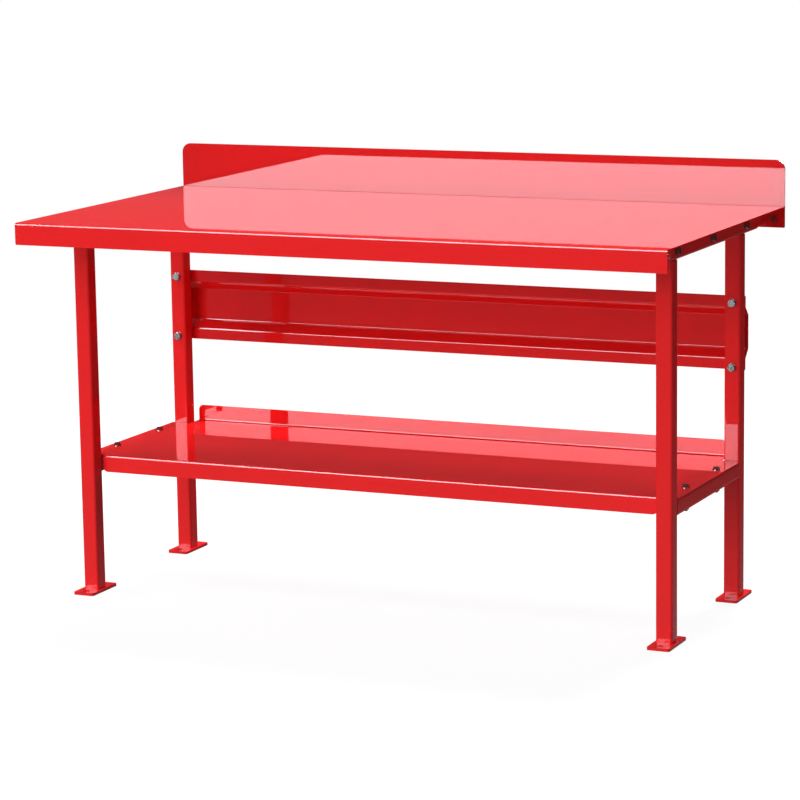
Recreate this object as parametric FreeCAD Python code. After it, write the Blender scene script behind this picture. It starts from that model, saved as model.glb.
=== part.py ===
"""Assembly table: a red enamelled steel work bench.

A formed sheet top with a rear riser stands on two welded end frames. Each end frame is two square tube
legs let into foot plates, an angle-section rail under the top and a tube rail under the shelf. A lower shelf
and a pressed back stringer tie the end frames together. Everything is bolted or welded; nothing moves.

Millimetres. +X runs along the bench to the right, -Y is the front, +Z is up. The origin lies on the
floor, in the middle of the bench. "Setback" is a distance behind the face of the front flange.
"""
import FreeCAD, Part
import math
import os

# ---- driving dimensions ---------------------------------------------------------------------------
WIDTH = 1524.0                # the top, end to end
TOP_DEPTH = 789.0             # front flange face to rear flange face
TOP_HEIGHT = 869.8            # floor to work surface
TOP_SHEET = 2.7               # 12 gauge
TOP_BEND = 1.8                # inside radius of the folds
FRONT_DROP = 48.8             # work surface to the front flange's lower edge
REAR_DROP = 47.8
FLANGE_CORNER = 3.0           # rounded lower corners of the front flange

RISER_SHEET = 3.0
RISER_RISE = 104.0            # above the work surface
RISER_CORNER = 22.0

LEG_SIZE = 37.0               # square tube, outside
LEG_WALL = 2.5
LEG_CORNER = 5.0              # outside corner radius
LEG_INSET = 48.4              # end of the top to the leg's outer face
FRONT_LEG_SETBACK = 167.0
REAR_LEG_SETBACK = 620.5

FOOT_SIDE_MARGIN = 7.3        # plate beyond the leg, left and right
FOOT_END_MARGIN = 38.0        # plate beyond the leg, front and back
FOOT_PLATE = 6.35
FOOT_CORNER = 6.0
ANCHOR_HOLE = 12.0
FOOT_WELD = 2.0               # depth of the weld that closes the plate under the leg's end
RAIL_WELD_LEG = 2.5           # fillet welds between rails and legs

TOP_RAIL_SHEET = 3.0
TOP_RAIL_BEND = 2.0
TOP_RAIL_BOTTOM = 822.8       # also the height of the leg tops
TOP_RAIL_FRONT = 161.0        # setback of its front end
TOP_RAIL_REAR = 785.0         # setback of its rear end
COPE_START = 739.0            # where its lower rear corner is cut back
COPE_END = 751.5
COPE_RISE = 6.5

TOP_ANGLE_SHEET = 3.0
TOP_ANGLE_FLANGE = 30.0
TOP_ANGLE_DROP = 34.0
TOP_ANGLE_FRONT = 165.0
TOP_ANGLE_REAR = 780.0
STIFFENER_SHEET = 1.5
STIFFENER_DEPTH = 25.0
STIFFENER_LIP = 15.0
STIFFENER_WEB = 40.0
STIFFENER_SETBACKS = {"front": 300.0, "rear": 540.0}

SHELF_HEIGHT = 316.6          # floor to shelf surface
SHELF_SHEET = 2.5
SHELF_BEND = 1.8              # inside radius at the front flange
UPSTAND_BEND = 3.4            # inside radius at the foot of the upstand
SHELF_FRONT = 197.0           # setback of the front flange
SHELF_DROP = 38.8
UPSTAND_SETBACK = 667.0       # front face of the rear upstand
UPSTAND_HEIGHT = 36.8
TONGUE_GAP = 6.5              # between the shelf's tongues and the legs' inner faces
SHELF_OVERHANG = 2.8          # the shelf's sides beyond the legs' outer faces
LEG_CLEARANCE = 1.5           # between the shelf's sides and the legs, front and back
SHELF_FLANGE_CORNER = 11.0
UPSTAND_CORNER = 12.0

STRINGER_SHEET = 2.5
STRINGER_BEND = 3.0
STRINGER_CENTRE = 600.0       # height of its middle
STRINGER_HEIGHT = 166.2
STRINGER_FLANGE = 26.0
STRINGER_SET = 20.0           # depth of the hat, and height of each slope

# ---- fasteners: "flats" is the width across flats, "washer" an outer diameter, "washer_t" a thickness
LIGHT = {"shank": 8.0, "flats": 12.7, "head": 5.4, "nut": 6.7, "washer": 17.5, "washer_t": 1.6}
HEAVY = {"shank": 11.0, "flats": 15.9, "head": 7.1, "nut": 9.5, "washer": 18.2, "washer_t": 1.6}
HEXAGON = 6
HEAD_CHAMFER = 30.0           # degrees
HOLE_CLEARANCE = 0.5          # on radius, between shank and hole
THREAD_CLEARANCE = 0.1        # on radius, between shank and nut or washer
THREAD_STICKOUT = 3.0         # shank beyond the nut
RAIL_BOLT_SETBACKS = (193.0, 423.0, 653.0)
RAIL_BOLT_HEIGHT = 842.6
RISER_BOLT_END = 24.6         # end of the top to the last riser bolt
RISER_BOLT_COUNT = 5
RISER_BOLT_HEIGHT = 841.0
SHELF_BOLT_SETBACKS = (309.0, 514.0)
STRINGER_BOLT_OFFSET = 72.0   # above and below the stringer's middle

TOUCHING = 1e-6               # points closer than this are one point
MM3_PER_CM3 = 1000

# ---- derived sizes ---------------------------------------------------------------------------------
OVERALL_DEPTH = TOP_DEPTH + RISER_SHEET + LIGHT["washer_t"] + LIGHT["head"]
FRONT_Y = -OVERALL_DEPTH / 2
HALF_WIDTH = WIDTH / 2
LEG_OUTER = HALF_WIDTH - LEG_INSET
LEG_INNER = LEG_OUTER - LEG_SIZE
LEG_X = LEG_OUTER - LEG_SIZE / 2
LEG_SETBACKS = {"front": FRONT_LEG_SETBACK, "rear": REAR_LEG_SETBACK}
FRONT_LEG_BACK = FRONT_LEG_SETBACK + LEG_SIZE
REAR_LEG_BACK = REAR_LEG_SETBACK + LEG_SIZE
TOP_UNDERSIDE = TOP_HEIGHT - TOP_SHEET
SHELF_UNDERSIDE = SHELF_HEIGHT - SHELF_SHEET
SHELF_RAIL_BOTTOM = SHELF_UNDERSIDE - LEG_SIZE     # the rails are cut from the legs' tube
SIDES = {"left": -1, "right": 1}
ANCHOR_REACH = LEG_SIZE / 2 + FOOT_END_MARGIN / 2

X_AXIS = FreeCAD.Vector(1, 0, 0)
Y_AXIS = FreeCAD.Vector(0, 1, 0)
Z_AXIS = FreeCAD.Vector(0, 0, 1)


def at(setback):
    """Y coordinate of a distance behind the front flange's face."""
    return FRONT_Y + setback


def turn(points, index):
    """Unit directions into and out of a corner of a closed outline."""
    here = points[index]
    before = points[index - 1]
    after = points[(index + 1) % len(points)]
    into = (here[0] - before[0], here[1] - before[1])
    out = (after[0] - here[0], after[1] - here[1])
    into_length = math.hypot(*into)
    out_length = math.hypot(*out)
    return ((into[0] / into_length, into[1] / into_length), (out[0] / out_length, out[1] / out_length))


def rounded_face(points, radii, place):
    """Face inside a closed outline whose corners are rounded; place() puts a 2-D point in space."""
    edges = []
    starts = []
    ends = []
    middles = []
    for index, (x, y) in enumerate(points):
        radius = radii[index]
        into, out = turn(points, index)
        angle = math.acos(max(-1.0, min(1.0, into[0] * out[0] + into[1] * out[1])))
        cut = radius * math.tan(angle / 2)
        starts.append((x - into[0] * cut, y - into[1] * cut))
        ends.append((x + out[0] * cut, y + out[1] * cut))
        bisector = (out[0] - into[0], out[1] - into[1])
        reach = math.hypot(*bisector) or 1.0
        depth = radius / math.cos(angle / 2) - radius
        middles.append((x + bisector[0] / reach * depth, y + bisector[1] / reach * depth))
    for index, radius in enumerate(radii):
        if radius:
            arc = Part.Arc(place(*starts[index]), place(*middles[index]), place(*ends[index]))
            edges.append(arc.toShape())
        following = (index + 1) % len(points)
        gap = math.dist(ends[index], starts[following])
        if gap > TOUCHING:
            edges.append(Part.LineSegment(place(*ends[index]), place(*starts[following])).toShape())
    return Part.Face(Part.Wire(edges))


def offset_path(path, distance):
    """The path moved to its left by a distance, with mitred corners."""
    directions = []
    for (x0, y0), (x1, y1) in zip(path, path[1:]):
        length = math.dist((x0, y0), (x1, y1))
        directions.append(((x1 - x0) / length, (y1 - y0) / length))
    into = directions[:1] + directions
    out = directions + directions[-1:]
    moved = []
    for (x, y), (ax, ay), (bx, by) in zip(path, into, out):
        normal = (-ay - by, ax + bx)
        scale = distance * 2 / (normal[0] ** 2 + normal[1] ** 2)
        moved.append((x + normal[0] * scale, y + normal[1] * scale))
    return moved


def sheet_face(path, thickness, bends, place):
    """Section of a folded sheet lying to the left of a path; bends holds the inside radius of each fold."""
    inner = offset_path(path, thickness)
    path_radii = [0.0] * len(path)
    inner_radii = [0.0] * len(path)
    for index, bend in enumerate(bends, 1):
        into, out = turn(path, index)
        turns_left = into[0] * out[1] - into[1] * out[0] > 0
        path_radii[index] = bend + thickness if turns_left else bend
        inner_radii[index] = bend if turns_left else bend + thickness
    return rounded_face(path + inner[::-1], path_radii + inner_radii[::-1], place)


def folded_along_x(path, thickness, bends, x0, x1):
    """Folded sheet with its section in setback and height, running from x0 to x1."""
    face = sheet_face(path, thickness, bends, lambda s, z: FreeCAD.Vector(x0, at(s), z))
    return face.extrude(FreeCAD.Vector(x1 - x0, 0, 0))


def folded_along_y(path, thickness, bends, setback0, setback1):
    """Folded sheet with its section in X and height, running back from setback0 to setback1."""
    face = sheet_face(path, thickness, bends, lambda x, z: FreeCAD.Vector(x, at(setback0), z))
    return face.extrude(FreeCAD.Vector(0, setback1 - setback0, 0))


def block(x0, x1, setback0, setback1, z0, z1):
    """Plain rectangular block."""
    corner = FreeCAD.Vector(min(x0, x1), at(setback0), z0)
    return Part.makeBox(abs(x1 - x0), setback1 - setback0, z1 - z0, corner)


def rod(radius, start, direction, length):
    """Cylinder from a point along a direction."""
    return Part.makeCylinder(radius, length, start, direction)


def rounded_plate_xy(x0, x1, y0, y1, radius, z0, z1):
    """Flat plate with four rounded corners."""
    outline = [(x0, y0), (x1, y0), (x1, y1), (x0, y1)]
    face = rounded_face(outline, [radius] * 4, lambda x, y: FreeCAD.Vector(x, y, z0))
    return face.extrude(FreeCAD.Vector(0, 0, z1 - z0))


def corner_cutter(x, z, side, up, radius, setback0, setback1):
    """What a rounded corner takes off a plate that faces the front: corner at (x, z)."""
    square = block(x, x - side * radius, setback0, setback1, min(z, z - up * radius), max(z, z - up * radius))
    centre = FreeCAD.Vector(x - side * radius, at(setback0), z - up * radius)
    return square.cut(rod(radius, centre, Y_AXIS, setback1 - setback0))


# ---- fasteners -------------------------------------------------------------------------------------
def hexagon(flats, start, direction, length, pointed):
    """Hexagonal prism; pointed is the direction that one corner points to."""
    across = direction.cross(pointed)
    reach = flats / math.sqrt(3)
    corners = []
    for step in range(HEXAGON + 1):
        angle = 2 * math.pi * step / HEXAGON
        corners.append(start + pointed * (reach * math.cos(angle)) + across * (reach * math.sin(angle)))
    return Part.Face(Part.makePolygon(corners)).extrude(direction * length)


def chamfered_hexagon(flats, start, direction, length, pointed, both_ends):
    """Hexagon whose corners are turned down by a chamfer, as on a real head or nut."""
    reach = flats / math.sqrt(3)
    drop = (reach - flats / 2) * math.tan(math.radians(HEAD_CHAMFER))
    far = Part.makeCone(reach, flats / 2, drop, start + direction * (length - drop), direction)
    near_height = drop if both_ends else 0.0
    middle = rod(reach, start + direction * near_height, direction, length - drop - near_height)
    envelope = middle.fuse(far)
    if both_ends:
        envelope = envelope.fuse(Part.makeCone(flats / 2, reach, drop, start, direction))
    return hexagon(flats, start, direction, length, pointed).common(envelope)


def bolt(size, seat, direction, grip, pointed):
    """Hex bolt with its head on seat; its shank runs along direction through the grip and the nut."""
    head = chamfered_hexagon(size["flats"], seat, direction * -1, size["head"], pointed, False)
    shank = rod(size["shank"] / 2, seat, direction, grip + size["nut"] + THREAD_STICKOUT)
    return head.fuse(shank).removeSplitter()


def nut(size, seat, direction, pointed):
    """Hex nut that stands on seat and is bored along direction."""
    body = chamfered_hexagon(size["flats"], seat, direction, size["nut"], pointed, True)
    return body.cut(rod(size["shank"] / 2 + THREAD_CLEARANCE, seat, direction, size["nut"]))


def washer(size, seat, direction):
    """Flat washer that lies on seat and builds up along direction."""
    disc = rod(size["washer"] / 2, seat, direction, size["washer_t"])
    return disc.cut(rod(size["shank"] / 2 + THREAD_CLEARANCE, seat, direction, size["washer_t"]))


def bolt_hole(size, start, direction, length):
    """Clearance hole for a bolt."""
    return rod(size["shank"] / 2 + HOLE_CLEARANCE, start, direction, length)


def rail_bolt_seats():
    """(side, point on the top rail's outer face) of each bolt that holds the top to an end frame."""
    seats = []
    for sign in SIDES.values():
        for setback in RAIL_BOLT_SETBACKS:
            seats.append((sign, FreeCAD.Vector(sign * LEG_OUTER, at(setback), RAIL_BOLT_HEIGHT)))
    return seats


def riser_bolt_seats():
    """Points on the riser's back face."""
    reach = HALF_WIDTH - RISER_BOLT_END
    pitch = 2 * reach / (RISER_BOLT_COUNT - 1)
    back = at(TOP_DEPTH + RISER_SHEET)
    return [FreeCAD.Vector(-reach + pitch * n, back, RISER_BOLT_HEIGHT) for n in range(RISER_BOLT_COUNT)]


def shelf_bolt_seats():
    """Points on the shelf's surface, over the middle of each shelf rail."""
    seats = []
    for sign in SIDES.values():
        for setback in SHELF_BOLT_SETBACKS:
            seats.append(FreeCAD.Vector(sign * LEG_X, at(setback), SHELF_HEIGHT))
    return seats


def stringer_bolt_seats():
    """Points on the front faces of the rear legs."""
    seats = []
    for sign in SIDES.values():
        for offset in (STRINGER_BOLT_OFFSET, -STRINGER_BOLT_OFFSET):
            seats.append(FreeCAD.Vector(sign * LEG_X, at(REAR_LEG_SETBACK), STRINGER_CENTRE + offset))
    return seats


# ---- sheet parts -----------------------------------------------------------------------------------
def bench_top():
    """Top sheet, folded down at the front and at the rear; its ends are open."""
    path = [(TOP_DEPTH, TOP_HEIGHT - REAR_DROP), (TOP_DEPTH, TOP_HEIGHT), (0, TOP_HEIGHT),
            (0, TOP_HEIGHT - FRONT_DROP)]
    top = folded_along_x(path, TOP_SHEET, [TOP_BEND] * 2, -HALF_WIDTH, HALF_WIDTH)
    for sign in SIDES.values():
        lower_edge = TOP_HEIGHT - FRONT_DROP
        top = top.cut(corner_cutter(sign * HALF_WIDTH, lower_edge, sign, -1, FLANGE_CORNER, 0, TOP_SHEET))
    for seat in riser_bolt_seats():
        start = seat - Y_AXIS * (RISER_SHEET + TOP_SHEET)
        top = top.cut(bolt_hole(LIGHT, start, Y_AXIS, TOP_SHEET))
    return top


def rear_riser():
    """Backstop plate, bolted to the rear flange of the top."""
    bottom = TOP_HEIGHT - REAR_DROP
    upper = TOP_HEIGHT + RISER_RISE
    outline = [(-HALF_WIDTH, bottom), (HALF_WIDTH, bottom), (HALF_WIDTH, upper), (-HALF_WIDTH, upper)]
    radii = [FLANGE_CORNER, FLANGE_CORNER, RISER_CORNER, RISER_CORNER]
    face = rounded_face(outline, radii, lambda x, z: FreeCAD.Vector(x, at(TOP_DEPTH), z))
    riser = face.extrude(FreeCAD.Vector(0, RISER_SHEET, 0))
    for seat in riser_bolt_seats():
        riser = riser.cut(bolt_hole(LIGHT, seat, Y_AXIS * -1, RISER_SHEET))
    return riser


def lower_shelf():
    """Shelf sheet: flange down at the front, upstand at the rear, sides reaching out between the legs."""
    tongue = LEG_INNER - TONGUE_GAP
    upstand_top = SHELF_HEIGHT + UPSTAND_HEIGHT
    flange_bottom = SHELF_HEIGHT - SHELF_DROP
    back = UPSTAND_SETBACK + SHELF_SHEET
    path = [(back, upstand_top), (back, SHELF_UNDERSIDE), (SHELF_FRONT + SHELF_SHEET, SHELF_UNDERSIDE),
            (SHELF_FRONT + SHELF_SHEET, flange_bottom)]
    path.reverse()
    shelf = folded_along_x(path, SHELF_SHEET, [SHELF_BEND, UPSTAND_BEND], -tongue, tongue)
    side_reach = LEG_OUTER + SHELF_OVERHANG
    side_front = FRONT_LEG_BACK + LEG_CLEARANCE
    side_back = REAR_LEG_SETBACK - LEG_CLEARANCE
    for sign in SIDES.values():
        side = block(sign * tongue, sign * side_reach, side_front, side_back, SHELF_UNDERSIDE, SHELF_HEIGHT)
        shelf = shelf.fuse(side)
    shelf = shelf.removeSplitter()
    for sign in SIDES.values():
        edge = sign * tongue
        shelf = shelf.cut(corner_cutter(edge, flange_bottom, sign, -1, SHELF_FLANGE_CORNER,
                                        SHELF_FRONT, SHELF_FRONT + SHELF_SHEET))
        shelf = shelf.cut(corner_cutter(edge, upstand_top, sign, 1, UPSTAND_CORNER, UPSTAND_SETBACK, back))
    for seat in shelf_bolt_seats():
        shelf = shelf.cut(bolt_hole(LIGHT, seat, Z_AXIS * -1, SHELF_SHEET))
    return shelf


def back_stringer():
    """Hat section across the backs of the rear legs: two flanges, two slopes and a web set back."""
    half = STRINGER_HEIGHT / 2
    flange = half - STRINGER_FLANGE
    web = flange - STRINGER_SET
    near = REAR_LEG_BACK
    deep = REAR_LEG_BACK + STRINGER_SET
    path = [(near, half), (near, flange), (deep, web), (deep, -web), (near, -flange), (near, -half)]
    path = [(setback, STRINGER_CENTRE + z) for setback, z in path]
    stringer = folded_along_x(path, STRINGER_SHEET, [STRINGER_BEND] * 4, -LEG_OUTER, LEG_OUTER)
    for seat in stringer_bolt_seats():
        start = seat + Y_AXIS * LEG_SIZE
        stringer = stringer.cut(bolt_hole(HEAVY, start, Y_AXIS, STRINGER_SHEET))
    return stringer


def top_stiffener(setback):
    """Hat channel welded along the underside of the top, between the end angles."""
    upper = TOP_UNDERSIDE
    lower = TOP_UNDERSIDE - STIFFENER_DEPTH
    half = STIFFENER_WEB / 2
    reach = half + STIFFENER_LIP
    path = [(setback - reach, upper), (setback - half, upper), (setback - half, lower),
            (setback + half, lower), (setback + half, upper), (setback + reach, upper)]
    path.reverse()
    end = LEG_OUTER - TOP_RAIL_SHEET - TOP_ANGLE_FLANGE
    return folded_along_x(path, STIFFENER_SHEET, [STIFFENER_SHEET] * 4, -end, end)


def mirrored_path(path, sign):
    """Section path given for the right-hand side, for either side; the sheet stays on its left."""
    if sign > 0:
        return path
    return [(-x, z) for x, z in reversed(path)]


def top_rail(sign):
    """Angle rail on the leg tops: a web flush with the legs and a flange that the legs are welded to."""
    path = [(LEG_INNER, TOP_RAIL_BOTTOM), (LEG_OUTER, TOP_RAIL_BOTTOM), (LEG_OUTER, TOP_UNDERSIDE)]
    path = mirrored_path(path, sign)
    rail = folded_along_y(path, TOP_RAIL_SHEET, [TOP_RAIL_BEND], TOP_RAIL_FRONT, TOP_RAIL_REAR)
    cope = [(COPE_START, TOP_RAIL_BOTTOM), (COPE_END, TOP_RAIL_BOTTOM + COPE_RISE),
            (TOP_RAIL_REAR, TOP_RAIL_BOTTOM + COPE_RISE), (TOP_RAIL_REAR, TOP_RAIL_BOTTOM)]
    corners = [FreeCAD.Vector(sign * LEG_INNER, at(setback), z) for setback, z in cope + cope[:1]]
    rail = rail.cut(Part.Face(Part.makePolygon(corners)).extrude(X_AXIS * (sign * LEG_SIZE)))
    for side, seat in rail_bolt_seats():
        if side == sign:
            rail = rail.cut(bolt_hole(HEAVY, seat, X_AXIS * -sign, TOP_RAIL_SHEET))
    return rail


def top_angle(sign):
    """Angle welded under the end of the top; the top rail is bolted to its web."""
    outer = LEG_OUTER - TOP_RAIL_SHEET
    path = [(outer, TOP_UNDERSIDE - TOP_ANGLE_DROP), (outer, TOP_UNDERSIDE),
            (outer - TOP_ANGLE_FLANGE, TOP_UNDERSIDE)]
    path = mirrored_path(path, sign)
    angle = folded_along_y(path, TOP_ANGLE_SHEET, [TOP_RAIL_BEND], TOP_ANGLE_FRONT, TOP_ANGLE_REAR)
    for side, seat in rail_bolt_seats():
        if side == sign:
            start = seat - X_AXIS * (sign * TOP_RAIL_SHEET)
            angle = angle.cut(bolt_hole(HEAVY, start, X_AXIS * -sign, TOP_ANGLE_SHEET))
    return angle


# ---- end frames ------------------------------------------------------------------------------------
def leg_section(sign, setback, wall, z0, z1):
    """Prism with the leg's outline moved in by a distance."""
    x0 = sign * LEG_X - LEG_SIZE / 2 + wall
    y0 = at(setback) + wall
    size = LEG_SIZE - 2 * wall
    return rounded_plate_xy(x0, x0 + size, y0, y0 + size, LEG_CORNER - wall, z0, z1)


def leg(sign, setback):
    """Square tube from inside the foot plate to the top rail; the rear legs are drilled for the stringer."""
    tube = leg_section(sign, setback, 0.0, FOOT_WELD, TOP_RAIL_BOTTOM)
    tube = tube.cut(leg_section(sign, setback, LEG_WALL, FOOT_WELD, TOP_RAIL_BOTTOM))
    if setback == REAR_LEG_SETBACK:
        for seat in stringer_bolt_seats():
            if seat.x * sign > 0:
                tube = tube.cut(bolt_hole(HEAVY, seat, Y_AXIS, LEG_SIZE))
    return tube


def foot_plate(sign, setback):
    """Bolt-down plate with an opening that the leg enters, and an anchor hole before and behind it."""
    x_reach = LEG_SIZE / 2 + FOOT_SIDE_MARGIN
    y_reach = LEG_SIZE / 2 + FOOT_END_MARGIN
    x = sign * LEG_X
    y = at(setback) + LEG_SIZE / 2
    plate = rounded_plate_xy(x - x_reach, x + x_reach, y - y_reach, y + y_reach, FOOT_CORNER, 0, FOOT_PLATE)
    plate = plate.cut(leg_section(sign, setback, 0.0, 0, FOOT_PLATE))
    for reach in (-ANCHOR_REACH, ANCHOR_REACH):
        plate = plate.cut(rod(ANCHOR_HOLE / 2, FreeCAD.Vector(x, y + reach, 0), Z_AXIS, FOOT_PLATE))
    return plate


def foot_weld(sign, setback):
    """Weld laid from below in the plate's opening, under the leg's end and flush with the plate."""
    weld = leg_section(sign, setback, 0.0, 0, FOOT_WELD)
    return weld.cut(leg_section(sign, setback, LEG_WALL, 0, FOOT_WELD))


def shelf_rail(sign):
    """Square tube between the front and the rear leg; it carries the shelf."""
    path = [(sign * LEG_X - LEG_SIZE / 2, SHELF_RAIL_BOTTOM), (sign * LEG_X + LEG_SIZE / 2, SHELF_RAIL_BOTTOM),
            (sign * LEG_X + LEG_SIZE / 2, SHELF_UNDERSIDE), (sign * LEG_X - LEG_SIZE / 2, SHELF_UNDERSIDE)]
    signs = [(1, 1), (-1, 1), (-1, -1), (1, -1)]
    inside = [(x + dx * LEG_WALL, z + dz * LEG_WALL) for (x, z), (dx, dz) in zip(path, signs)]
    start = at(FRONT_LEG_BACK)
    length = FreeCAD.Vector(0, REAR_LEG_SETBACK - FRONT_LEG_BACK, 0)
    outer = rounded_face(path, [LEG_CORNER] * 4, lambda x, z: FreeCAD.Vector(x, start, z)).extrude(length)
    inner_radii = [LEG_CORNER - LEG_WALL] * 4
    rail = outer.cut(rounded_face(inside, inner_radii, lambda x, z: FreeCAD.Vector(x, start, z)).extrude(length))
    for seat in shelf_bolt_seats():
        if seat.x * sign > 0:
            entry = seat - Z_AXIS * SHELF_SHEET
            rail = rail.cut(bolt_hole(LIGHT, entry, Z_AXIS * -1, SHELF_UNDERSIDE - SHELF_RAIL_BOTTOM))
    return rail


def bead_along_x(x0, x1, setback, z, forward, up):
    """Small three-sided weld bead along X, in the corner at (setback, z)."""
    corners = [(0, 0), (forward * RAIL_WELD_LEG, 0), (0, up * RAIL_WELD_LEG), (0, 0)]
    outline = [FreeCAD.Vector(x0, at(setback + s), z + dz) for s, dz in corners]
    return Part.Face(Part.makePolygon(outline)).extrude(FreeCAD.Vector(x1 - x0, 0, 0))


def rail_welds():
    """Beads where the rails meet the legs: under each top rail and below each shelf rail."""
    beads = []
    flat0 = LEG_INNER + LEG_CORNER
    flat1 = LEG_OUTER - LEG_CORNER
    for sign in SIDES.values():
        x0, x1 = sorted((sign * flat0, sign * flat1))
        for setback in LEG_SETBACKS.values():
            beads.append(bead_along_x(x0, x1, setback + LEG_SIZE, TOP_RAIL_BOTTOM, 1, -1))
        beads.append(bead_along_x(x0, x1, FRONT_LEG_BACK, SHELF_RAIL_BOTTOM, 1, -1))
        beads.append(bead_along_x(x0, x1, REAR_LEG_SETBACK, SHELF_RAIL_BOTTOM, -1, -1))
    return beads


# ---- the assembly ----------------------------------------------------------------------------------
def sheet_nodes():
    """Top, riser, shelf and stringer."""
    nodes = {"bench_top": bench_top(), "rear_riser": rear_riser(), "lower_shelf": lower_shelf(),
             "back_stringer": back_stringer()}
    for place, setback in STIFFENER_SETBACKS.items():
        nodes[f"top_stiffener_{place}"] = top_stiffener(setback)
    return nodes


def frame_nodes():
    """The two end frames and the angles that they bolt to."""
    nodes = {"rail_welds": Part.makeCompound(rail_welds())}
    beads = []
    for side, sign in SIDES.items():
        nodes[f"top_rail_{side}"] = top_rail(sign)
        nodes[f"top_angle_{side}"] = top_angle(sign)
        nodes[f"shelf_rail_{side}"] = shelf_rail(sign)
        for place, setback in LEG_SETBACKS.items():
            nodes[f"leg_{place}_{side}"] = leg(sign, setback)
            nodes[f"foot_plate_{place}_{side}"] = foot_plate(sign, setback)
            beads.append(foot_weld(sign, setback))
    nodes["foot_welds"] = Part.makeCompound(beads)
    return nodes


def fastener_set(name, size, seats, grip, nut_washer, pointed):
    """Bolts, washers and nuts of one joint; seats hold (point under the head's washer, direction)."""
    bolts = []
    washers = []
    nuts = []
    nut_washers = []
    for seat, direction in seats:
        washers.append(washer(size, seat, direction * -1))
        head_seat = seat - direction * size["washer_t"]
        far = seat + direction * grip
        under_nut = size["washer_t"] if nut_washer else 0.0
        bolts.append(bolt(size, head_seat, direction, size["washer_t"] + grip + under_nut, pointed))
        nuts.append(nut(size, far + direction * under_nut, direction, pointed))
        if nut_washer:
            nut_washers.append(washer(size, far, direction))
    nodes = {f"{name}_bolts": bolts, f"{name}_washers": washers, f"{name}_nuts": nuts}
    if nut_washer:
        nodes[f"{name}_nut_washers"] = nut_washers
    return {node: Part.makeCompound(solids) for node, solids in nodes.items()}


def fastener_nodes():
    """Every bolted joint of the bench."""
    rail_seats = [(seat, X_AXIS * -sign) for sign, seat in rail_bolt_seats()]
    riser_seats = [(seat, Y_AXIS * -1) for seat in riser_bolt_seats()]
    shelf_seats = [(seat, Z_AXIS * -1) for seat in shelf_bolt_seats()]
    stringer_seats = [(seat, Y_AXIS) for seat in stringer_bolt_seats()]
    shelf_grip = SHELF_HEIGHT - SHELF_RAIL_BOTTOM
    nodes = {}
    nodes.update(fastener_set("top_rail", HEAVY, rail_seats, TOP_RAIL_SHEET + TOP_ANGLE_SHEET, True, Z_AXIS))
    nodes.update(fastener_set("riser", LIGHT, riser_seats, RISER_SHEET + TOP_SHEET, False, Z_AXIS))
    nodes.update(fastener_set("shelf", LIGHT, shelf_seats, shelf_grip, True, Y_AXIS))
    nodes.update(fastener_set("stringer", HEAVY, stringer_seats, LEG_SIZE + STRINGER_SHEET, True, Z_AXIS))
    return nodes


def main():
    """Write one STEP file per node."""
    os.makedirs("parts", exist_ok=True)
    nodes = {}
    nodes.update(sheet_nodes())
    nodes.update(frame_nodes())
    nodes.update(fastener_nodes())
    for name, shape in nodes.items():
        shape.exportStep(f"parts/{name}.step")
        print(f"{name}: {len(shape.Solids)} solids, valid {shape.isValid()}, {shape.Volume / MM3_PER_CM3:.2f} cm3")


main()
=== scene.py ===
"""Looks of the assembly table: enamel, zinc fasteners, weld beads, camera and studio light.

The CAD nodes keep their shapes and get materials and slightly rounded edges. Lengths are in metres.
A direction is an azimuth, 0 at the front and positive to the right, and an elevation, in degrees.
"""
import math

import bpy
from mathutils import Matrix, Vector


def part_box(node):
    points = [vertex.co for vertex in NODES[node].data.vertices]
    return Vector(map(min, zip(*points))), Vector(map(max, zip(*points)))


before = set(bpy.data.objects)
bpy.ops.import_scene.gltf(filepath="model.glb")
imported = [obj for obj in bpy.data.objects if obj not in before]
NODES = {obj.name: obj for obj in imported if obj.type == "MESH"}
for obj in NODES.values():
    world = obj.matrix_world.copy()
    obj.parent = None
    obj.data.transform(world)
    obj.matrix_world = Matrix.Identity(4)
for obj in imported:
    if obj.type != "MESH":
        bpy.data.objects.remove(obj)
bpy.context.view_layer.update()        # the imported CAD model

SCENE = bpy.context.scene
WHITE = (1, 1, 1, 1)
UNIT_SPAN = (0.0, 1.0)


class Nodes:
    """Short way to build a node tree."""

    def __init__(self, tree):
        self.tree = tree
        tree.nodes.clear()

    def add(self, kind, inputs=None, **settings):
        """New node; an input is a socket to link from or a plain value."""
        node = self.tree.nodes.new(kind)
        for key, value in settings.items():
            setattr(node, key, value)
        for key, value in (inputs or {}).items():
            if isinstance(value, bpy.types.NodeSocket):
                self.tree.links.new(value, node.inputs[key])
            else:
                node.inputs[key].default_value = value
        return node

    def remap(self, value, span, new_span, **settings):
        """Carries a value from one (start, end) span over to another."""
        node = self.add("ShaderNodeMapRange", {
            "Value": value, "From Min": span[0], "From Max": span[1],
            "To Min": new_span[0], "To Max": new_span[1]}, **settings)
        return node.outputs["Result"]

    def calculate(self, operation, *values):
        """Result of a Math node."""
        node = self.add("ShaderNodeMath", dict(enumerate(values)), operation=operation)
        return node.outputs["Value"]

    def dot(self, one, other):
        """Dot product of two vectors."""
        node = self.add("ShaderNodeVectorMath", {0: one, 1: other}, operation="DOT_PRODUCT")
        return node.outputs["Value"]

    def scaled(self, color, factor):
        """A colour times a factor."""
        node = self.add("ShaderNodeVectorMath", {0: color, "Scale": factor}, operation="SCALE")
        return node.outputs["Vector"]


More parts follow.
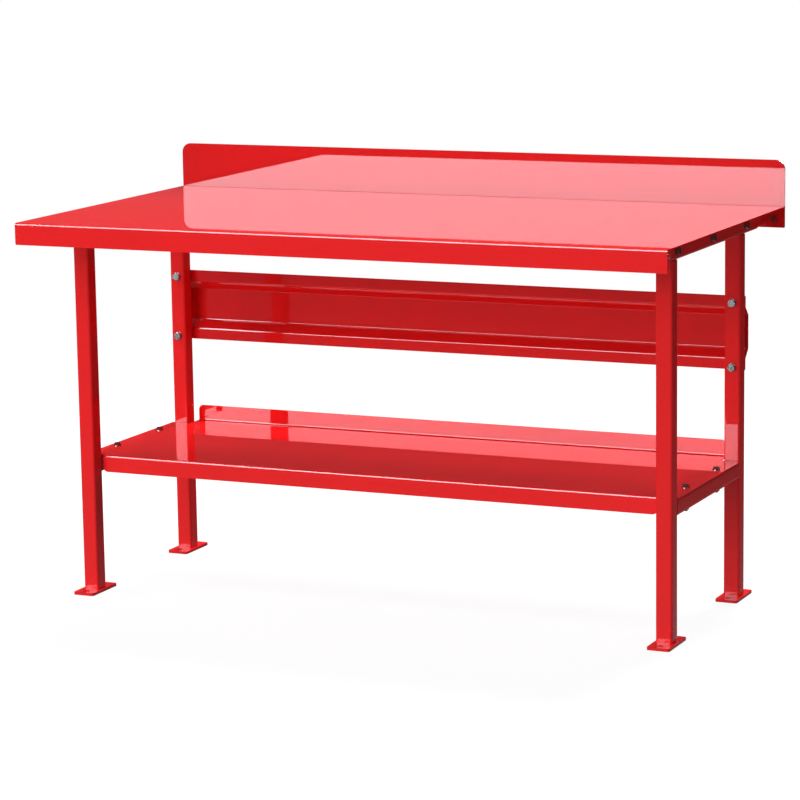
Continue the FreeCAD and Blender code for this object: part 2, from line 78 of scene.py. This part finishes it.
# ---- camera: fitted to the edges of the bench ---------------------------------------------------
CAMERA_AZIMUTH = math.radians(-24.389)      # the way it looks, from +Y towards +X
CAMERA_DROP = math.radians(10.148)
CAMERA_ROLL = math.radians(-0.874)
CAMERA_LENS = 139.43                        # millimetres
CAMERA_SENSOR = 36.0                        # millimetres
CAMERA_PLACE = Vector((2.8218, -5.8558, 1.6786))    # y counts from the front flange
CAMERA_NEAR = 0.1
CAMERA_FAR = 100.0


def front_face():
    """Y of the bench top's front flange."""
    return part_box("bench_top")[0].y


def make_camera():
    """Camera at its fitted place, without shift or depth of field."""
    forward = Vector((math.sin(CAMERA_AZIMUTH) * math.cos(CAMERA_DROP),
                      math.cos(CAMERA_AZIMUTH) * math.cos(CAMERA_DROP),
                      -math.sin(CAMERA_DROP)))
    level_right = forward.cross(Vector((0, 0, 1))).normalized()
    level_up = level_right.cross(forward)
    right = level_right * math.cos(CAMERA_ROLL) + level_up * math.sin(CAMERA_ROLL)
    up = level_up * math.cos(CAMERA_ROLL) - level_right * math.sin(CAMERA_ROLL)
    data = bpy.data.cameras.new("camera")
    data.lens = CAMERA_LENS
    data.sensor_width = CAMERA_SENSOR
    data.clip_start = CAMERA_NEAR
    data.clip_end = CAMERA_FAR
    camera = bpy.data.objects.new("camera", data)
    SCENE.collection.objects.link(camera)
    place = CAMERA_PLACE + Vector((0, front_face(), 0))
    turn = Matrix((right, up, -forward)).transposed().to_4x4()
    camera.matrix_world = Matrix.Translation(place) @ turn
    SCENE.camera = camera


# ---- materials ----------------------------------------------------------------------------------
RED = (0.72, 0.0115, 0.0125)
PAINTED_LIGHT_LEVELS = {                                   # the red made darker or brighter on these pieces: painted shade on the riser and stringer, painted light on the shelf
    "rear_riser": 0.7,
    "lower_shelf": 1.08,
    "back_stringer": 0.86,
}
PIGMENT_ROUGHNESS = 0.5
COAT_IOR = 1.6
SMOOTH_SKIN = {"coat_roughness": 0.012, "peel": 0.02}
WELD_SKIN = {"coat_roughness": 0.15, "peel": 0.25}
CLOUDS = {"Scale": 7.0, "Detail": 3.0}      # broad, faint differences in the red
CLOUD_SPAN = (0.3, 0.7)
CLOUD_TONES = (0.975, 1.025)
ORANGE_PEEL = {"Scale": 420.0, "Detail": 1.5}

DULL_ZINC = {"color": (0.3, 0.315, 0.31), "roughness": 0.16}
PAINTED_LIGHT_ZINC = {"color": (0.42, 0.43, 0.415), "roughness": 0.18}     # a brighter copy of the zinc: painted light on the back stringer's bolts
PATCHES = {"Scale": 260.0, "Detail": 3.0}
PATCH_TONES = (0.8, 1.15)
PATCH_ROUGHNESS = (-0.05, 0.08)             # added to the roughness
GRAIN = {"Scale": 2600.0, "Detail": 2.0}
GRAIN_STRENGTH = 0.25
BUMP_HEIGHT = 0.0001

FASTENERS = ("bolts", "washers", "nuts")    # endings of node names
EDGE_WIDTH = 0.00025
EDGE_SEGMENTS = 2
EDGE_ANGLE = math.radians(40)               # what counts as an edge
FLAT_ANGLE = math.radians(0.4)              # what counts as one flat face


def new_material(name):
    """Empty node material, and the builder of its nodes."""
    material = bpy.data.materials.new(name)
    material.use_nodes = True
    return material, Nodes(material.node_tree)


def enamel(name, coat_roughness, peel, tone=1.0):
    """Red enamel under a hard clear skin, with faint clouds and orange peel; a tone below 1 paints
    shade into the red, and a tone above 1 paints light.
    """
    material, n = new_material(name)
    place = n.add("ShaderNodeNewGeometry").outputs["Position"]
    cloud = n.add("ShaderNodeTexNoise", {"Vector": place, **CLOUDS}).outputs["Fac"]
    depth = n.remap(cloud, CLOUD_SPAN, [share * tone for share in CLOUD_TONES])
    ripple = n.add("ShaderNodeTexNoise", {"Vector": place, **ORANGE_PEEL}).outputs["Fac"]
    bump = n.add("ShaderNodeBump", {"Height": ripple, "Strength": peel, "Distance": BUMP_HEIGHT})
    shader = n.add("ShaderNodeBsdfPrincipled", {
        "Base Color": n.scaled(RED, depth), "Roughness": PIGMENT_ROUGHNESS,
        "Specular IOR Level": 0.0, "Coat Weight": 1.0, "Coat Roughness": coat_roughness,
        "Coat IOR": COAT_IOR, "Coat Normal": bump.outputs["Normal"]})
    n.add("ShaderNodeOutputMaterial", {"Surface": shader.outputs["BSDF"]})
    return material


def zinc(name, color, roughness):
    """Zinc plate: metal with fine grain and patches of another tone and roughness."""
    material, n = new_material(name)
    place = n.add("ShaderNodeNewGeometry").outputs["Position"]
    patch = n.add("ShaderNodeTexNoise", {"Vector": place, **PATCHES}).outputs["Fac"]
    rough = n.remap(patch, UNIT_SPAN, [roughness + more for more in PATCH_ROUGHNESS])
    tone = n.remap(patch, UNIT_SPAN, PATCH_TONES)
    grain = n.add("ShaderNodeTexNoise", {"Vector": place, **GRAIN}).outputs["Fac"]
    bump = n.add("ShaderNodeBump", {"Height": grain, "Strength": GRAIN_STRENGTH,
                                    "Distance": BUMP_HEIGHT})
    shader = n.add("ShaderNodeBsdfPrincipled", {
        "Base Color": n.scaled(color, tone), "Metallic": 1.0, "Roughness": rough,
        "Normal": bump.outputs["Normal"]})
    n.add("ShaderNodeOutputMaterial", {"Surface": shader.outputs["BSDF"]})
    return material


def soften_edges(node):
    """Rounds the cut edges a little, as enamel does; the flat triangles are joined first."""
    flat = node.modifiers.new("flat", "DECIMATE")
    flat.decimate_type = "DISSOLVE"
    flat.angle_limit = FLAT_ANGLE
    bevel = node.modifiers.new("edges", "BEVEL")
    bevel.width = EDGE_WIDTH
    bevel.segments = EDGE_SEGMENTS
    bevel.limit_method = "ANGLE"
    bevel.angle_limit = EDGE_ANGLE
    bevel.harden_normals = True


def dress_nodes():
    """Gives every node its material, and the sheets, tubes and plates their rounded edges. Some
    pieces get a red with painted shade or painted light, and the stringer's bolts get a zinc with
    painted light.
    """
    red = enamel("red enamel", **SMOOTH_SKIN)
    weld = enamel("red enamel on weld", **WELD_SKIN)
    bolt = zinc("zinc bolt", **DULL_ZINC)
    painted_light_bolt = zinc("zinc bolt with painted light", **PAINTED_LIGHT_ZINC)
    # the same red with painted shade on the riser and stringer and painted light on the shelf
    painted_light_reds = {name: enamel("red enamel at painted light level of " + name, tone=tone, **SMOOTH_SKIN)
               for name, tone in PAINTED_LIGHT_LEVELS.items()}
    for name, node in NODES.items():
        if name.endswith("welds"):
            material = weld
        elif name.endswith(FASTENERS):
            # the back stringer's bolts get the brighter zinc, which is painted light
            material = painted_light_bolt if name.startswith("stringer") else bolt
        else:
            material = painted_light_reds.get(name, red)
            soften_edges(node)
        node.data.materials.clear()
        node.data.materials.append(material)


# ---- floor --------------------------------------------------------------------------------------
FLOOR_REACH = 60.0
FLOOR_FADE = (1.3, 4.0)                     # distances over which the shadow fades into white
FLOOR_MATTE = (0.13, 0.13, 0.13, 1)         # the part of the seen floor that takes the shadow
FLOOR_GLOW = 0.84                           # the part that doesn't
FLOOR_UNSEEN = (0.22, 0.22, 0.22, 1)        # the floor as the bench gets light from it


def make_floor():
    """Pale floor: white with the bench's shadow when seen, and it throws little light back."""
    mesh = bpy.data.meshes.new("floor")
    corners = [(x * FLOOR_REACH, y * FLOOR_REACH, 0)
               for x, y in ((-1, -1), (1, -1), (1, 1), (-1, 1))]
    mesh.from_pydata(corners, [], [(0, 1, 2, 3)])
    floor = bpy.data.objects.new("floor", mesh)
    SCENE.collection.objects.link(floor)
    material, n = new_material("floor")
    place = n.add("ShaderNodeNewGeometry").outputs["Position"]
    distance = n.add("ShaderNodeVectorMath", {0: place}, operation="LENGTH").outputs["Value"]
    near = n.remap(distance, FLOOR_FADE, (1.0, 0.0), interpolation_type="SMOOTHSTEP")
    matte = n.add("ShaderNodeBsdfDiffuse", {"Color": FLOOR_MATTE})
    glow = n.add("ShaderNodeEmission", {"Color": WHITE, "Strength": FLOOR_GLOW})
    shaded = n.add("ShaderNodeAddShader", {0: matte.outputs[0], 1: glow.outputs[0]})
    white = n.add("ShaderNodeEmission", {"Color": WHITE, "Strength": 1.0})
    seen = n.add("ShaderNodeMixShader", {0: near, 1: white.outputs[0], 2: shaded.outputs[0]})
    unseen = n.add("ShaderNodeBsdfDiffuse", {"Color": FLOOR_UNSEEN})
    is_seen = n.add("ShaderNodeLightPath").outputs["Is Camera Ray"]
    both = n.add("ShaderNodeMixShader", {0: is_seen, 1: unseen.outputs[0], 2: seen.outputs[0]})
    n.add("ShaderNodeOutputMaterial", {"Surface": both.outputs[0]})
    mesh.materials.append(material)
    floor.visible_glossy = False


# ---- lamps: they light the matte part of the surfaces, and no reflection shows them -------------
LAMP_DISTANCE = 14.0
LAMP_SIZE = 7.13
LAMP_TARGET = Vector((0, 0, 0.6))
LAMPS = {                                   # azimuth, elevation, radiance (1 is white)
    "low back lamp": (-177, 22, 19.6),
    "high back lamp": (-172, 60, 14.8),
    "front lamp": (-10, 30, 3.2),
    "high front lamp": (-20, 55, 2.6),
    "low front lamp": (-20, 8, 6.8),
    "left lamp": (-70, 60, 5.5),
    "right lamp": (60, 60, 1.4),
}


def direction(azimuth, elevation):
    """Unit vector towards an azimuth and an elevation."""
    a = math.radians(azimuth)
    e = math.radians(elevation)
    return Vector((math.sin(a) * math.cos(e), -math.cos(a) * math.cos(e), math.sin(e)))


def make_lamps():
    """Square softboxes that face the bench."""
    for name, (azimuth, elevation, radiance) in LAMPS.items():
        data = bpy.data.lights.new(name, "AREA")
        data.shape = "SQUARE"
        data.size = LAMP_SIZE
        data.energy = radiance * math.pi * LAMP_SIZE ** 2
        lamp = bpy.data.objects.new(name, data)
        SCENE.collection.objects.link(lamp)
        toward = direction(azimuth, elevation)
        lamp.location = LAMP_TARGET + toward * LAMP_DISTANCE
        lamp.rotation_mode = "QUATERNION"
        lamp.rotation_quaternion = (-toward).to_track_quat("-Z", "Y")
        lamp.visible_glossy = False


# ---- world: strengths are (elevation, strength) stops, and 1 is white ---------------------------
LOW_FRONT = ((-90, 0.3), (-20, 0.3), (-10, 0.18), (-3, 0.1), (1, 9.8), (8, 9.8), (10, 8.0),
             (12, 5.8))
MIRRORED = {             # what the enamel mirrors: azimuth, half width, soft edge and strengths
    "wide front left": (-24.4, 26, 8, LOW_FRONT + ((14, 0.4), (90, 0.1))),
    "front left": (-28, 14, 5, LOW_FRONT + (
        (16, 6.0), (20, 14.0), (42, 20.0), (47, 0.1), (90, 0.1))),
    "back left": (-155.6, 40, 12, (
        (-90, 0.2), (-2, 0.3), (4, 0.3), (5.5, 0.11), (8, 0.05), (90, 0.05))),
    "back right": (155.6, 14, 8, (
        (-90, 0.1), (-26, 0.1), (-18, 0.4), (-15, 0.25), (-12, 0.07), (-9.5, 0.02), (90, 0.02))),
    "back": (180, 11, 4, (
        (-90, 0.1), (14, 0.1), (17, 20.0), (32, 20.0), (36, 0.1), (90, 0.1))),
}
MIRRORED_ELSEWHERE = ((-90, 0.1), (0, 0.1), (20, 0.1), (90, 0.1))
AMBIENT = ((-90, 0.34), (-2, 0.34), (2, 0.14), (90, 0.14))
PEAK = 20.0                                 # a ramp's colour of 1 stands for this strength
COOL = (0.93, 1.0, 1.08)                    # the studio is a little cool
MIX_A, MIX_B, MIX_RESULT = 6, 7, 2          # the colour sockets of a Mix node


def by_elevation(n, elevation, stops):
    """Colour that follows strength stops, as a share of the peak; elevation runs from 0 to 1."""
    ramp = n.add("ShaderNodeValToRGB", {"Fac": elevation})
    elements = ramp.color_ramp.elements
    while len(elements) > 1:
        elements.remove(elements[-1])
    for index, (degrees, strength) in enumerate(stops):
        position = (degrees + 90) / 180
        element = elements[0] if index == 0 else elements.new(position)
        element.position = position
        element.color = [strength / PEAK * share for share in COOL] + [1]
    return ramp.outputs["Color"]


def inside_sector(n, toward, azimuth, half_width, edge):
    """1 inside a sector of azimuths, 0 outside it, and soft between."""
    a = math.radians(azimuth)
    along = n.dot(toward, (math.sin(a), -math.cos(a), 0))
    across = n.dot(toward, (math.cos(a), math.sin(a), 0))
    off = n.calculate("ABSOLUTE", n.calculate("ARCTAN2", across, along))
    span = (math.radians(half_width - edge), math.radians(half_width + edge))
    return n.remap(off, span, (1.0, 0.0), interpolation_type="SMOOTHSTEP")


def make_world():
    """White when seen directly, dim all round as light, and a graded studio in reflections."""
    world = bpy.data.worlds.new("studio")
    SCENE.world = world
    world.use_nodes = True
    n = Nodes(world.node_tree)
    toward = n.add("ShaderNodeTexCoord").outputs["Generated"]
    height = n.add("ShaderNodeSeparateXYZ", {0: toward}).outputs["Z"]
    elevation = n.remap(n.calculate("ARCSINE", height), (-math.pi / 2, math.pi / 2), UNIT_SPAN)
    mirrored = by_elevation(n, elevation, MIRRORED_ELSEWHERE)
    for azimuth, half_width, edge, stops in MIRRORED.values():
        inside = inside_sector(n, toward, azimuth, half_width, edge)
        strength = by_elevation(n, elevation, stops)
        mix = n.add("ShaderNodeMix", {0: inside, MIX_A: mirrored, MIX_B: strength},
                    data_type="RGBA")
        mirrored = mix.outputs[MIX_RESULT]
    ambient = by_elevation(n, elevation, AMBIENT)
    seen = n.add("ShaderNodeBackground", {"Color": WHITE, "Strength": 1.0}).outputs[0]
    glossy = n.add("ShaderNodeBackground", {"Color": mirrored, "Strength": PEAK}).outputs[0]
    matte = n.add("ShaderNodeBackground", {"Color": ambient, "Strength": PEAK}).outputs[0]
    path = n.add("ShaderNodeLightPath").outputs
    lit = n.add("ShaderNodeMixShader", {0: path["Is Glossy Ray"], 1: matte, 2: glossy}).outputs[0]
    both = n.add("ShaderNodeMixShader", {0: path["Is Camera Ray"], 1: lit, 2: seen}).outputs[0]
    n.add("ShaderNodeOutputWorld", {"Surface": both})


def main():
    SCENE.view_settings.view_transform = "Standard"
    make_camera()
    dress_nodes()
    make_floor()
    make_lamps()
    make_world()


main()
